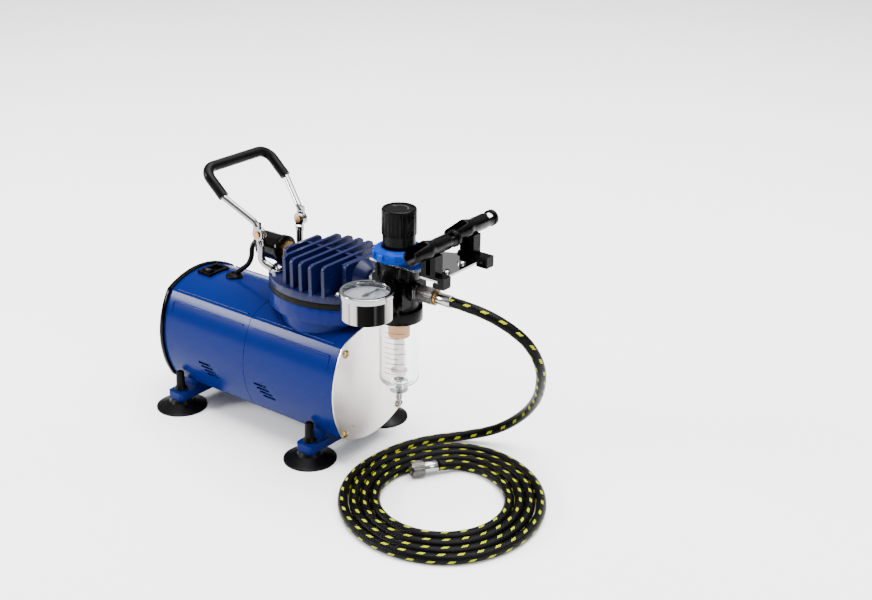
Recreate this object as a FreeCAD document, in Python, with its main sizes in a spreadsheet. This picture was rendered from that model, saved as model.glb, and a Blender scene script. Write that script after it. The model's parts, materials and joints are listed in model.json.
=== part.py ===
"""Airbrush compressor: piston head on an electric motor, with a filter regulator, gauge, handle and air hose.

Millimetres. +X runs along the motor shaft towards the regulator, +Z is up, the base rests on z = 0.
Shapes are drawn in the housing's frame, where x = 0 is the seam of the housing, and every sub-part's
Placement moves it by datum_x, so that the row's origin is under the middle of the compressor.
"""
import FreeCAD, Part
import math
import os
import Sketcher

V = FreeCAD.Vector
TURN = {"Z": FreeCAD.Rotation(),
        "X": FreeCAD.Rotation(V(0, 1, 0), 90),
        "Y": FreeCAD.Rotation(V(1, 0, 0), -90)}

# ---------------------------------------------------------------- driving dimensions

SIZES = {
    "datum_x": -40.95,
    # housing: four-sided bulged section, drawn by corner points and arc radii
    "rear_x": -85.0, "front_x": 92.7, "seam_x": 4.35, "seam_gap": 0.4, "wall": 1.2,
    "top_y": 33.3, "top_z": 93.8, "low_y": 34.5, "low_z": 21.7,
    "top_arc": 63.5, "side_arc": 68.2, "low_arc": 62.4,
    "plate_thick": 1.2, "trim_width": 3.6, "trim_thick": 1.2, "flange_width": 9.0,
    "louvre_length": 12.6, "louvre_height": 2.0, "louvre_step_x": 2.5, "louvre_step_z": 2.9,
    "rear_louvre_x": -35.7, "front_louvre_x": 24.1, "louvre_z": 41.8,
    # feet
    "foot_x": 69.0, "foot_y": 42.6, "cup_radius": 20.0, "cup_height": 7.8,
    "arm_thick": 6.6, "arm_width": 15.4, "boss_radius": 6.2, "stem_radius": 3.4, "stem_top": 30.5,
    # motor and crank
    "shaft_z": 57.5, "shaft_radius": 5.0, "frame_radius": 39.5, "stator_radius": 38.0,
    "rotor_radius": 20.0, "stator_rear": -46.0, "stator_length": 42.0,
    "bearing_radius": 13.0, "bearing_width": 8.0, "crank_throw": 5.0, "big_end": 16.0,
    # cylinder and head
    "head_x": 50.5, "head_long": 47.5, "head_wide": 35.8, "neck_long": 36.0, "neck_wide": 31.5,
    "case_top": 88.0, "flange_low": 106.6, "valve_low": 118.4, "head_low": 123.4, "head_top": 129.2,
    "fin_top": 151.5, "fin_thick": 3.0, "fin_first": 28.5, "fin_pitch": 9.4, "bore_radius": 19.0,
    # carrying handle
    "pin_x": 5.7, "pin_y": 21.2, "pin_z": 158.2, "rod_radius": 2.4, "eye_radius": 4.9, "eye_thick": 2.2,
    "upright_radius": 2.7,
    "grip_radius": 4.0,
    # pressure switch, its lead and the rocker switch
    "switch_z": 140.3, "switch_radius": 10.2, "switch_rear": -11.5, "switch_length": 18.5,
    "grommet_x": -47.5, "grommet_y": 1.5, "lead_radius": 2.0, "rocker_x": -69.5, "rocker_z": 102.6,
    # filter regulator and gauge
    "reg_x": 120.0, "port_z": 139.0, "body_radius": 14.2, "collar_radius": 17.1, "collar_low": 115.0,
    "plate_low": 160.5, "bonnet_radius": 12.9, "bonnet_top": 170.4, "nut_radius": 19.0,
    "knob_radius": 12.5, "knob_low": 171.2, "spindle_radius": 2.9,
    "gauge_y": -35.6, "gauge_radius": 19.2, "gauge_low": 127.4, "gauge_high": 147.6,
    "bowl_radius": 14.6, "bowl_wall": 1.6, "bowl_low": 63.2, "drain_radius": 2.2,
    # airbrush holders
    "holder_plate_thick": 1.5, "near_holder_x": 161.0, "near_holder_y": -16.0,
    "far_holder_x": 156.5, "far_holder_y": 34.5, "cradle_z": 182.2, "cradle_radius": 5.6,
    "cradle_bore": 4.3,
    # air hose
    "hose_radius": 3.75, "coil_x": 184.0, "coil_y": -31.4, "coil_turn": -53.05,
}


class Size:
    """A number together with the spreadsheet expression that gives it."""

    def __init__(self, value, text):
        self.value = float(value)
        self.text = text

    def __add__(self, other):
        return Size(self.value + size(other).value, f"({self.text} + {size(other).text})")

    def __sub__(self, other):
        return Size(self.value - size(other).value, f"({self.text} - {size(other).text})")

    def __mul__(self, other):
        return Size(self.value * size(other).value, f"({self.text} * {size(other).text})")

    def __truediv__(self, other):
        return Size(self.value / size(other).value, f"({self.text} / {size(other).text})")

    def __neg__(self):
        return Size(-self.value, f"(-1 * {self.text})")

    def __radd__(self, other):
        return size(other) + self

    def __rsub__(self, other):
        return size(other) - self

    def __rmul__(self, other):
        return size(other) * self


def size(value):
    """Any number as a Size."""
    return value if isinstance(value, Size) else Size(value, repr(float(value)))


doc = FreeCAD.newDocument("airbrush_compressor")
sheet = doc.addObject("Spreadsheet::Sheet", "Dimensions")
for row, (alias, number) in enumerate(SIZES.items(), start=1):
    sheet.set(f"A{row}", alias)
    sheet.set(f"B{row}", str(number))
    sheet.setAlias(f"B{row}", alias)
doc.recompute()


class Sheet:
    """The driving dimensions as Size values: D.wall, D.shaft_z and so on."""

    def __getattr__(self, alias):
        return Size(sheet.get(alias), f"Dimensions.{alias}")


D = Sheet()
NODES = {}


# ---------------------------------------------------------------- helpers

def bind(obj, path, value):
    obj.setExpression(path, size(value).text)


def place(obj, x=0, y=0, z=0, turn=None):
    """Put an object at a point of the housing's frame, turned by a FreeCAD rotation."""
    obj.Placement = FreeCAD.Placement(V(), turn or FreeCAD.Rotation())
    bind(obj, "Placement.Base.x", D.datum_x + x)
    bind(obj, "Placement.Base.y", y)
    bind(obj, "Placement.Base.z", z)
    return obj


def node(name, obj):
    """Give a finished object its name and list it for export."""
    obj.Label = name
    NODES[name] = obj
    return obj


def cylinder(name, radius, length, x=0, y=0, z=0, axis="Z"):
    obj = doc.addObject("Part::Cylinder", name)
    bind(obj, "Radius", radius)
    bind(obj, "Height", length)
    return place(obj, x, y, z, TURN[axis])


def cone(name, low, high, length, x=0, y=0, z=0, axis="Z"):
    obj = doc.addObject("Part::Cone", name)
    bind(obj, "Radius1", low)
    bind(obj, "Radius2", high)
    bind(obj, "Height", length)
    return place(obj, x, y, z, TURN[axis])



def block(name, x, y, z, long, wide, high, turn=None):
    """A box centred on x and y, with its base at z."""
    obj = doc.addObject("Part::Box", name)
    bind(obj, "Length", long)
    bind(obj, "Width", wide)
    bind(obj, "Height", high)
    return place(obj, size(x) - size(long) / 2, size(y) - size(wide) / 2, z, turn)


def fuse(name, *shapes):
    obj = doc.addObject("Part::MultiFuse", name)
    obj.Shapes = list(shapes)
    return obj


def cut(name, base, *tools):
    obj = doc.addObject("Part::Cut", name)
    obj.Base = base
    obj.Tool = tools[0] if len(tools) == 1 else fuse(name + "_tools", *tools)
    return obj


def tube(name, outer, inner, length, x=0, y=0, z=0, axis="Z"):
    """A ring: a cylinder with a bore through it."""
    return cut(name, cylinder(name + "_outer", outer, length, x, y, z, axis),
               cylinder(name + "_bore", inner, length, x, y, z, axis))


def group(name, *solids):
    """Separate solids that are identical pieces share one node."""
    obj = doc.addObject("Part::Compound", name)
    obj.Links = list(solids)
    return obj


def feature(name, shape):
    """A shape from Part's own functions, in the housing's frame."""
    obj = doc.addObject("Part::Feature", name)
    obj.Shape = shape
    obj.Placement = FreeCAD.Placement(V(D.datum_x.value, 0, 0), FreeCAD.Rotation())
    return obj



def hexagon(name, across, length, x, y, z, axis="X"):
    obj = doc.addObject("Part::Prism", name)
    obj.Polygon = 6
    bind(obj, "Circumradius", size(across) / math.sqrt(3))
    bind(obj, "Height", length)
    return place(obj, x, y, z, TURN[axis])


def origin_plane(body, role):
    return next(item for item in body.Origin.OriginFeatures if item.Role == role)


def arc_between(start, end, radius):
    """Circle through two points; a positive radius runs anticlockwise, a negative one clockwise."""
    chord = end - start
    middle = (start + end) / 2
    rise = math.sqrt(radius ** 2 - (chord.Length / 2) ** 2)
    side = V(-chord.y, chord.x, 0).normalize() * (rise if radius > 0 else -rise)
    centre = middle + side
    circle = Part.Circle(centre, V(0, 0, 1), abs(radius))
    first, last = (start, end) if radius > 0 else (end, start)
    angle = [math.atan2(p.y - centre.y, p.x - centre.x) for p in (first, last)]
    return Part.ArcOfCircle(circle, *angle)


def outline(sketch, points):
    """A closed outline of lines and arcs. A third number on a point is the radius of the arc into it."""
    first = sketch.GeometryCount
    count = len(points)
    starts, ends = [], []
    for index in range(count):
        here, there = points[index], points[(index + 1) % count]
        start = V(size(here[0]).value, size(here[1]).value, 0)
        end = V(size(there[0]).value, size(there[1]).value, 0)
        number = first + index
        if len(there) > 2:
            radius = size(there[2])
            sketch.addGeometry(arc_between(start, end, radius.value), False)
            starts.append((number, 1 if radius.value > 0 else 2))
            ends.append((number, 2 if radius.value > 0 else 1))
            name = f"arc_{number}"
            named(sketch, Sketcher.Constraint("Radius", number, abs(radius.value)), name,
                  radius if radius.value > 0 else -radius)
        else:
            sketch.addGeometry(Part.LineSegment(start, end), False)
            starts.append((number, 1))
            ends.append((number, 2))
    for index in range(count):
        sketch.addConstraint(Sketcher.Constraint("Coincident", *ends[index - 1], *starts[index]))
    for index, (number, end_of) in enumerate(starts):
        for kind, value in (("DistanceX", points[index][0]), ("DistanceY", points[index][1])):
            named(sketch, Sketcher.Constraint(kind, -1, 1, number, end_of, size(value).value),
                  f"{kind}_{number}", value)


def named(sketch, constraint, name, value):
    sketch.renameConstraint(sketch.addConstraint(constraint), name)
    if isinstance(value, Size):
        sketch.setExpression(f"Constraints.{name}", value.text)


def draw(body, name, plane, *outlines):
    sketch = body.newObject("Sketcher::SketchObject", name)
    sketch.AttachmentSupport = [(origin_plane(body, plane), "")]
    sketch.MapMode = "FlatFace"
    for points in outlines:
        outline(sketch, points)
    return sketch


def padded(name, plane, length, *outlines, x=0, y=0, z=0, both=False):
    """A body with one padded sketch."""
    body = doc.addObject("PartDesign::Body", name)
    pad = body.newObject("PartDesign::Pad", name + "_pad")
    pad.Profile = draw(body, name + "_sketch", plane, *outlines)
    pad.Midplane = both
    bind(pad, "Length", length)
    return place(body, x, y, z)


def turned(name, points, x=0, y=0, z=0, turn=None):
    """A body turned round its own Z axis from an outline of (radius, height) points."""
    body = doc.addObject("PartDesign::Body", name)
    sketch = draw(body, name + "_sketch", "XZ_Plane", points)
    spin = body.newObject("PartDesign::Revolution", name + "_turned")
    spin.Profile = sketch
    spin.ReferenceAxis = (sketch, ["V_Axis"])
    spin.Angle = 360
    return place(body, x, y, z, turn)


def section(inset=0.0):
    """The housing's section in the YZ plane, moved inwards by a thickness."""
    inset = size(inset)
    low_y, low_z = D.low_y - inset * 1.1, D.low_z + inset * 0.85
    top_y, top_z = D.top_y - inset * 1.1, D.top_z - inset * 0.85
    return [(-low_y, low_z, D.side_arc - inset), (low_y, low_z, D.low_arc - inset),
            (top_y, top_z, D.side_arc - inset), (-top_y, top_z, D.top_arc - inset)]


def oval(name, long, wide, low, high, x=D.head_x, y=0, turn=0.0):
    """A straight-sided solid with an elliptical outline, from z = low to z = high."""
    curve = doc.addObject("Part::Ellipse", name + "_outline")
    bind(curve, "MajorRadius", long)
    bind(curve, "MinorRadius", wide)
    place(curve, x, y, low, FreeCAD.Rotation(V(0, 0, 1), turn))
    solid = doc.addObject("Part::Extrusion", name)
    solid.Base = curve
    solid.Dir = V(0, 0, 1)
    solid.Solid = True
    bind(solid, "LengthFwd", size(high) - low)
    return solid


def rod(points, radius, bend):
    """A round bar along straight runs joined by tangent arcs. bend gives each corner's radius."""
    edges = []
    here = points[0]
    for index in range(1, len(points) - 1):
        corner = points[index]
        inward = (points[index - 1] - corner).normalize()
        outward = (points[index + 1] - corner).normalize()
        turn = math.pi - inward.getAngle(outward)
        setback = bend[index - 1] * math.tan(turn / 2)
        start, end = corner + inward * setback, corner + outward * setback
        middle_way = (inward + outward).normalize()
        middle = corner + middle_way * (bend[index - 1] / math.cos(turn / 2) - bend[index - 1])
        if (start - here).Length > 1e-6:
            edges.append(Part.LineSegment(here, start).toShape())
        edges.append(Part.Arc(start, middle, end).toShape())
        here = end
    edges.append(Part.LineSegment(here, points[-1]).toShape())
    path = Part.Wire(edges)
    profile = Part.Wire([Part.Circle(points[0], points[1] - points[0], radius).toShape()])
    return path.makePipeShell([profile], True, False), path.Length


def eased(points):
    """Arc radii for a cord: each as large as the shorter of its two runs allows."""
    radii = []
    for before, corner, after in zip(points, points[1:], points[2:]):
        turn = math.pi - (before - corner).getAngle(after - corner)
        radii.append(0.45 * min((corner - before).Length, (after - corner).Length) / math.tan(turn / 2))
    return radii


# ---------------------------------------------------------------- housing

FACE_SCREWS = [(29.0, 88.5), (-29.0, 88.5), (31.7, 24.0), (-31.7, 24.0)]
SCREW_HOLE = 1.6


def slab(name, inset, x, length):
    """A slice of the housing's section, from x on."""
    return padded(name, "YZ_Plane", length, section(inset), x=x)


def louvres(name, middle):
    """Slanted rows of four short slots through both sides of the housing."""
    slots = []
    for row in range(4):
        step = row - 1.5
        slots.append(block(f"{name}_slot_{row}", middle + step * D.louvre_step_x, 0,
                           D.louvre_z - step * D.louvre_step_z - D.louvre_height / 2,
                           D.louvre_length, 110, D.louvre_height))
    return slots


def creases(name, start, length, corner_x):
    """Pressed lines beside the housing's top corners, with a short one down the side at the outer end."""
    lines = []
    for side in (-1, 1):
        down = cylinder(f"{name}_crease_end_{side}", CREASE, 9.5, corner_x, side * 36.8, 87.6)
        down.Placement.Rotation = FreeCAD.Rotation(V(1, 0, 0), -side * 158)
        lines.append(down)
        for number, (y, z) in enumerate(((31.2, 95.15), (36.85, 87.6))):
            lines.append(cylinder(f"{name}_crease_{side}_{number}", CREASE, length, start, side * y, z, "X"))
    return lines


def housing():
    rear_end = D.seam_x - D.seam_gap / 2
    front_end = D.seam_x + D.seam_gap / 2
    skin = fuse("rear_skin", slab("rear_outside", 0, D.rear_x, rear_end - D.rear_x),
                *creases("rear", D.rear_x + 9, rear_end - D.rear_x - 14, D.rear_x + 9))
    rear = cut("rear_shell", skin, slab("rear_inside", D.wall, D.rear_x, rear_end - D.rear_x),
               *louvres("rear", D.rear_louvre_x),
               cylinder("grommet_hole", 4.6, 12, D.grommet_x, D.grommet_y, 96),
               block("bezel_hole", D.rocker_x, 0, 92, 12, 18.4, 16))
    node("shell_rear", rear)

    skin = fuse("front_skin", slab("front_outside", 0, front_end, D.front_x - front_end),
                *creases("front", front_end + 5, D.front_x - front_end - 12, D.front_x - 7))
    rim = D.front_x - D.wall - front_end
    front = cut("front_shell", skin, slab("front_inside", D.wall, front_end, rim),
                slab("front_opening", D.flange_width, front_end, D.front_x - front_end),
                *louvres("front", D.front_louvre_x),
                oval("neck_hole", D.neck_long + 0.6, D.neck_wide + 0.6, 80, 110),
                *[cylinder("pilot_hole", 1.5, 10, D.front_x - 5, y, z, "X") for y, z in FACE_SCREWS])
    node("shell_front", front)

    plate = cut("face", slab("face_blank", 0.4, D.front_x, D.plate_thick),
                *[cylinder("face_hole", SCREW_HOLE, 6, D.front_x - 2, y, z, "X") for y, z in FACE_SCREWS])
    node("front_plate", plate)
    face = D.front_x + D.plate_thick
    node("front_plate_screws", group("face_screws", *[face_screw(index, face, y, z)
                                                      for index, (y, z) in enumerate(FACE_SCREWS)]))

    outside = slab("trim_outside", -D.trim_thick, D.rear_x - D.trim_thick, D.trim_width)
    trim = cut("trim", outside, slab("trim_seat", 0, D.rear_x, D.trim_width),
               slab("trim_opening", D.wall + 2.2, D.rear_x - 5, 8))
    node("rear_trim", trim)

    back = slab("back_blank", D.wall + 0.1, D.rear_x, 2)
    vents = [block(f"vent_{row}", D.rear_x, 0, 34 + 6 * row, 8, 46, 2.6) for row in range(8)]
    back = cut("back", back, *vents, cylinder("gland_hole", 5.0, 8, D.rear_x - 2, 8, 24.5, "X"))
    node("rear_cover", back)

    gland = fuse("gland", cylinder("gland_flange", 7.0, 2.6, D.rear_x - 2.6, 8, 24.5, "X"),
                 cylinder("gland_neck", 4.95, 6, D.rear_x - 1, 8, 24.5, "X"),
                 cone("gland_sleeve", 4.0, 5.4, 4.6, D.rear_x - 7.2, 8, 24.5, "X"))
    node("mains_gland", cut("gland_bored", gland, cylinder("gland_bore", 3.2, 30, D.rear_x - 10, 8, 24.5,
                                                           "X")))


def face_screw(index, face, y, z):
    dome = turned(f"face_screw_{index}", [(0, -2.6), (1.5, -2.6), (1.5, 0), (3.2, 0), (3.2, 0.9),
                                          (0, 2.1, 3.5)],
                  face, y, z, TURN["X"])
    return cut(f"slotted_{index}", dome, block(f"screw_slot_{index}", face + 2, y, z - 0.35, 1.6, 5.0, 0.7))


def feet():
    bar_low = D.cup_height + 0.1
    for end, sign in (("rear", -1), ("front", 1)):
        x = sign * D.foot_x
        wide, long, cut_off = D.arm_width.value / 2, D.foot_y.value + 7.2, 2.8
        bar = [padded(f"{end}_bar", "XY_Plane", D.arm_thick,
                      [(cut_off - wide, -long, cut_off), (wide - cut_off, -long),
                       (wide, cut_off - long, cut_off), (wide, long - cut_off),
                       (wide - cut_off, long, cut_off), (cut_off - wide, long),
                       (-wide, long - cut_off, cut_off), (-wide, cut_off - long)], x=x, z=bar_low)]
        holes = [slab(f"{end}_seat", -0.05, x - 20, 40)]
        for side in (-1, 1):
            bar.append(cylinder(f"{end}_boss_{side}", D.boss_radius, 0.7, x, side * D.foot_y,
                                bar_low + D.arm_thick))
            bar.append(block(f"{end}_block_{side}", x, side * 26.5, bar_low, D.arm_width - 0.8, 13, 15))
            for dot in (-1, 0, 1):
                bar.append(cylinder(f"{end}_dot_{side}_{dot}", 1.0, 15.6, x - 7.8, side * 27 + 3.4 * dot,
                                    15.2 + 0.5 * abs(dot), "X"))
            holes.append(cylinder(f"{end}_hole_{side}", D.stem_radius + 0.05, 12, x, side * D.foot_y, 5))
        node(f"foot_bracket_{end}", cut(f"{end}_bracket", fuse(f"{end}_arms", *bar), *holes))
        for side, where in ((-1, "near"), (1, "far")):
            top = bar_low + D.arm_thick + 0.8
            foot = turned(f"{end}_{where}_foot",
                          [(0, 2.8), (6, 2.7), (D.cup_radius - 2.4, 0), (D.cup_radius, 0),
                           (D.cup_radius, 1.2),
                           (D.cup_radius - 4.2, 2.7), (D.stem_radius + 6.2, 4.9),
                           (D.stem_radius + 4.6, D.cup_height),
                           (D.stem_radius, D.cup_height), (D.stem_radius, top),
                           (D.stem_radius + 2, top), (D.stem_radius + 0.2, top + 3.6),
                           (D.stem_radius - 0.2, D.stem_top - 0.8), (D.stem_radius - 1, D.stem_top),
                           (0, D.stem_top)], x, side * D.foot_y)
            node(f"foot_{end}_{where}", foot)


def rocker_switch():
    x, z = D.rocker_x, D.rocker_z
    body = fuse("bezel_body", block("bezel_flange", x, 0, 100, 14.4, 21, 5.0),
                block("bezel_box", x, 0, 91.5, 11.8, 18.2, 11.5))
    seat = cut("bezel_seat", slab("bezel_skin", -0.05, x - 12, 24), slab("bezel_inside", D.wall, x - 12, 24),
               block("bezel_clear", x, 0, 80, 11.8, 18.2, 40))
    well = block("bezel_well", x, 0, 94, 9.6, 16.6, 20)
    below = cut("bezel_below", slab("bezel_low", D.wall + 0.05, x - 12, 24),
                block("bezel_keep", x, 0, 80, 11.8, 18.2, 40))
    node("rocker_bezel", cut("bezel", body, seat, below, well))

    rocker = padded("rocker_body", "YZ_Plane", 9.2,
                    [(-6.8, 4.4), (-7.6, -2.8, 8.1), (7.6, -2.8), (8.1, -0.3, 8.1), (0.6, 1.3)],
                    x=x - 4.6, z=z)
    node("rocker", rocker)


def grommet_and_lead():
    x, y = D.grommet_x, D.grommet_y
    rubber = turned("grommet", [(D.lead_radius, 99.6), (6.2, 99.6), (6.2, 100.8), (4.5, 101.0), (4.5, 103.3),
                                (6.75, 103.4), (6.75, 104.6), (4.4, 106.6), (D.lead_radius, 106.6)], x, y, 0)
    node("cable_grommet", rubber)
    route = [V(-48.0, 1.5, 97.5), V(-46.8, 1.6, 105.5), V(-40.2, 2.4, 111.0), V(-33.0, 3.0, 116.5),
             V(-28.8, 3.0, 124.2), V(-27.6, 2.2, 132.2), V(-22.8, 0.9, 138.6), V(-15.0, 0.0, 140.3)]
    lead, length = rod(route, D.lead_radius.value, eased(route))
    node("switch_cable", feature("lead", lead))
    print(f"switch cable: {length:.0f} mm, radii", [round(r, 1) for r in eased(route)])


# ---------------------------------------------------------------- motor and crank

def motor():
    z = D.shaft_z
    rear = D.stator_rear
    front = rear + D.stator_length
    shroud = tube("shroud", D.frame_radius, D.stator_radius + 0.05, 74, -58, 0, z, "X")
    end_bell = cut("end_bell", cylinder("bell", D.frame_radius, 3, -61, 0, z, "X"),
                   *[cylinder(f"bell_vent_{n}", 5.0, 6, -62, 25 * math.cos(n * math.pi / 3),
                              z + 25 * math.sin(n * math.pi / 3), "X") for n in range(6)])
    hub = cylinder("bell_hub", D.bearing_radius + 2.5, 11, -61, 0, z, "X")
    saddles = [cut("saddle", block("saddle_blank", -20, 0, 10, 50, 52, 16),
                   cylinder("saddle_bed", D.frame_radius - 0.4, 60, -50, 0, z, "X"),
                   block("saddle_gap", -20, 0, 5, 60, 30, 30))]
    bored = cut("motor_frame_body", fuse("motor_frame_blank", shroud, end_bell, hub, *saddles),
                cylinder("rear_bearing_seat", D.bearing_radius, D.bearing_width, -58, 0, z, "X"),
                cylinder("rear_shaft_hole", D.shaft_radius + 0.6, 40, -70, 0, z, "X"),
                block("neck_relief", 15, 0, 87.9, 8, 50, 20))
    inside = slab("frame_room", D.wall + 0.1, -62, 90)
    common = doc.addObject("Part::Common", "motor_frame_shape")
    common.Base = bored
    common.Tool = inside
    node("motor_frame", common)

    core = tube("stator_core", D.stator_radius, D.rotor_radius + 0.4, D.stator_length, rear, 0, z, "X")
    windings = [tube("winding", 33.5, 24, 7, x, 0, z, "X") for x in (rear - 7, front)]
    node("motor_stator", fuse("stator", core, *windings))
    node("motor_rotor", tube("rotor_core", D.rotor_radius, D.shaft_radius, D.stator_length - 1, rear + 0.5,
                             0, z, "X"))
    node("motor_shaft", cylinder("shaft", D.shaft_radius, 119, -78, 0, z, "X"))
    node("motor_bearings", group("bearings", *[
        tube("bearing", D.bearing_radius, D.shaft_radius + 0.04, D.bearing_width, x, 0, z,
             "X") for x in (-58, 22.5)]))

    blades = []
    for n in range(9):
        angle = FreeCAD.Rotation(V(1, 0, 0), 40 * n).multiply(FreeCAD.Rotation(V(0, 0, 1), 35))
        blade = doc.addObject("Part::Box", f"blade_{n}")
        blade.Length, blade.Width, blade.Height = 9.0, 1.4, 25.0
        offset = angle.multVec(V(-4.5, -0.7, 7.0))
        blades.append(place(blade, -70 + offset.x, offset.y, z + offset.z, angle))
    fan = cut("fan", fuse("fan_blank", cylinder("fan_hub", 9, 9, -74.5, 0, z, "X"), *blades),
              cylinder("fan_bore", D.shaft_radius, 40, -90, 0, z, "X"))
    node("cooling_fan", fan)


def crank():
    z = D.shaft_z
    pin_z = z + D.crank_throw
    web = fuse("web", cylinder("counterweight", 15, 6, 36.5, 0, z - 2, "X"),
               cylinder("web_disc", 11, 6, 36.5, 0, z, "X"),
               cylinder("crankpin", D.shaft_radius, 15, 42.5, 0, pin_z, "X"),
               cylinder("pin_cap", 7, 1.6, 57.5, 0, pin_z, "X"))
    node("crank_eccentric", cut("eccentric", web, cylinder("web_bore", D.shaft_radius, 4.5, 36.5, 0, z, "X")))
    big_end = cylinder("rod_ring", D.big_end + 3.5, 9, D.head_x - 4.5, 0, pin_z, "X")
    shank = block("rod_shank", D.head_x, 0, pin_z + 10, 7, 12, 42.5)
    crown = cylinder("rod_crown", D.bore_radius - 0.9, 4.0, D.head_x, 0, 111.2)
    cup = tube("rod_cup", D.bore_radius - 0.05, D.bore_radius - 2.5, 5.5, D.head_x, 0, 109.8)
    node("connecting_rod", cut("rod", fuse("rod_blank", big_end, shank, crown, cup),
                               cylinder("rod_eye", D.big_end, 20, D.head_x - 10, 0, pin_z, "X")))


def crankcase():
    z = D.shaft_z
    box = block("case_box", 49.5, 0, 24, 55, 58, D.case_top - 24)
    wall = cylinder("case_wall", D.frame_radius, 6, 16.2, 0, z, "X")
    legs = block("case_legs", 49, 0, 8, 40, 50, 18)
    blank = fuse("case_blank", box, wall, legs)
    cavity = block("case_cavity", 52, 0, 32, 41, 48, 70)
    above = block("case_above", 49, 0, D.case_top, 90, 90, 30)
    gap = block("case_gap", 49, 0, 5, 60, 26, 19)
    bored = cut("case_bored", blank, cavity, gap, above,
                cylinder("case_bearing", D.bearing_radius, D.bearing_width, 22.5, 0, z, "X"),
                cylinder("case_shaft", D.shaft_radius + 0.6, 40, 0, 0, z, "X"))
    common = doc.addObject("Part::Common", "case_shape")
    common.Base = bored
    common.Tool = slab("case_room", D.wall + 0.1, 10, 84)
    node("crankcase", common)


# ---------------------------------------------------------------- cylinder, head and handle

HEAD_SCREWS = [(18.0, -15.4), (18.0, 15.4), (81.3, -22.4), (81.3, 22.4)]
FIN_HALVES = [19.5, 31.0, 33.5, 34.6, 34.6, 31.5, 18.5]
FIN_ROUND = 3.2
CREASE = 0.75


def screw_holes(name, radius, low, high):
    return [cylinder(f"{name}_{n}", radius, high - size(low), x, y, low) for n,
            (x, y) in enumerate(HEAD_SCREWS)]


def cylinder_and_head():
    x = D.head_x
    neck = oval("neck", D.neck_long, D.neck_wide, D.case_top, D.flange_low)
    flange = oval("cylinder_flange", D.head_long, D.head_wide, D.flange_low, D.valve_low)
    ribs = [cylinder(f"neck_rib_{side}", 2.2, 5.2, x - 30.6, side * 17.5, 101.6) for side in (-1, 1)]
    barrel = cut("barrel", fuse("barrel_blank", neck, flange, *ribs),
                 cylinder("bore", D.bore_radius, 40, x, 0, 80),
                 *screw_holes("cylinder_thread", 1.8, 108, 120))
    node("cylinder", barrel)

    plate = cut("valve_plate_shape", oval("valve_blank", D.head_long, D.head_wide, D.valve_low, D.head_low),
                cylinder("intake_port", 3.5, 10, x - 8, 0, 116),
                cylinder("outlet_port", 3.5, 10, x + 8, 0, 116),
                *screw_holes("valve_hole", 1.85, 116, 125))
    node("valve_plate", plate)

    parts = [oval("head_flange", D.head_long, D.head_wide, D.head_low, D.head_top)]
    height = D.fin_top - D.head_top + 1
    for number, half in enumerate(FIN_HALVES):
        at = D.fin_first + number * D.fin_pitch
        parts.append(padded(f"fin_{number}", "YZ_Plane", D.fin_thick,
                            [(-half, 0), (half, 0), (half, height - FIN_ROUND),
                             (half - FIN_ROUND, height, FIN_ROUND), (-half + FIN_ROUND, height),
                             (-half, height - FIN_ROUND, FIN_ROUND)],
                            x=at - D.fin_thick / 2, z=D.head_top - 1))
    parts.append(block("cross_rib", 56.5, 3.0, D.head_top - 1, 53, 2.4, height - 0.8))
    parts.append(block("front_chest", 83.6, 0, D.head_top - 1, 4.3, 35, height - 0.4))
    parts.append(cone("outlet_boss", 12.5, 7.2, 10, 85.5, 0, D.port_z, "X"))
    parts.append(cylinder("switch_boss", 8.0, 4.0, 26.5, 0, D.switch_z, "X"))
    head = cut("head_shape", fuse("head_blank", *parts),
               cylinder("head_outlet", 3.6, 30, 80, 0, D.port_z, "X"),
               cylinder("head_tap", 3.6, 14, 20, 0, D.switch_z, "X"),
               cylinder("head_room", 14, 3, x, 0, 120.4), *screw_holes("head_hole", 1.85, 120, 140))
    node("cylinder_head", head)

    screws = []
    for number, (sx, sy) in enumerate(HEAD_SCREWS):
        base = 131.7 if number < 2 else 129.2
        dome = turned(f"head_screw_{number}", [(0, 108.5 - base), (1.8, 108.5 - base), (1.8, 0), (3.1, 0),
                                              (3.1, 0.8), (0, 2.5, 3.8)], sx, sy, base)
        screws.append(cut(f"head_bolt_{number}", dome, block(f"bolt_slot_{number}", sx, sy, base + 1.9, 5,
                                                             0.8, 1.5)))
    node("head_screws", group("head_bolts", *screws))


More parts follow.
